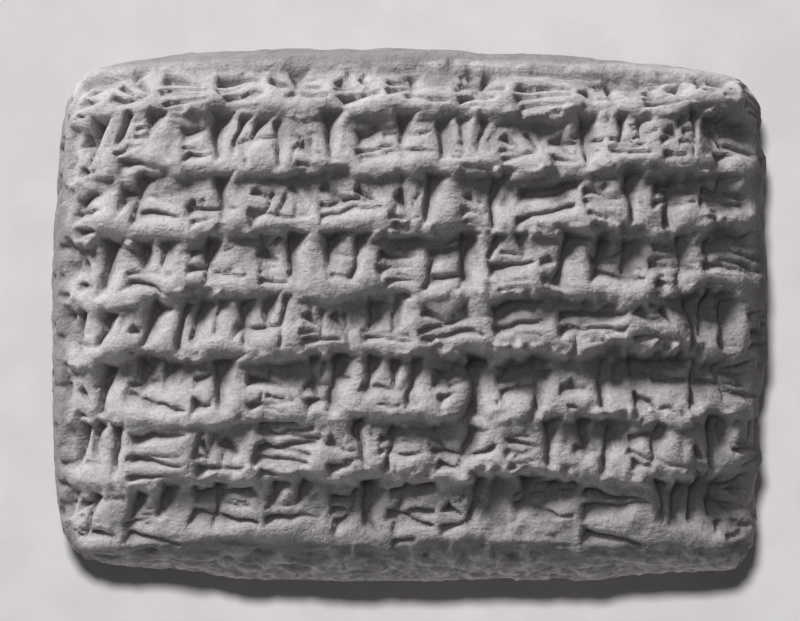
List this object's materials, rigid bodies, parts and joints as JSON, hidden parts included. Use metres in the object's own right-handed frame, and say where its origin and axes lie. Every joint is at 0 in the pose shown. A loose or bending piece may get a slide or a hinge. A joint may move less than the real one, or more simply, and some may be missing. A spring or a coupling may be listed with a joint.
{
  "type": "cuneiform tablet",
  "caption": "Pillow-shaped clay tablet lying face up, its face filled with close rows of short wedge-shaped strokes.",
  "frame": {"origin": "middle of the small flat on the back that the tablet rests on", "axes": "+X along the rows of strokes, from their start to their end; +Y towards the edge above the first row; +Z out of the written face"},
  "size_m": [0.062, 0.0462, 0.022],
  "materials": {
    "clay": "matt dried clay, grey with a warm tinge, with dirt in the strokes"
  },
  "bodies": {
    "root": {"tablet": "clay"}
  },
  "joints": []
}
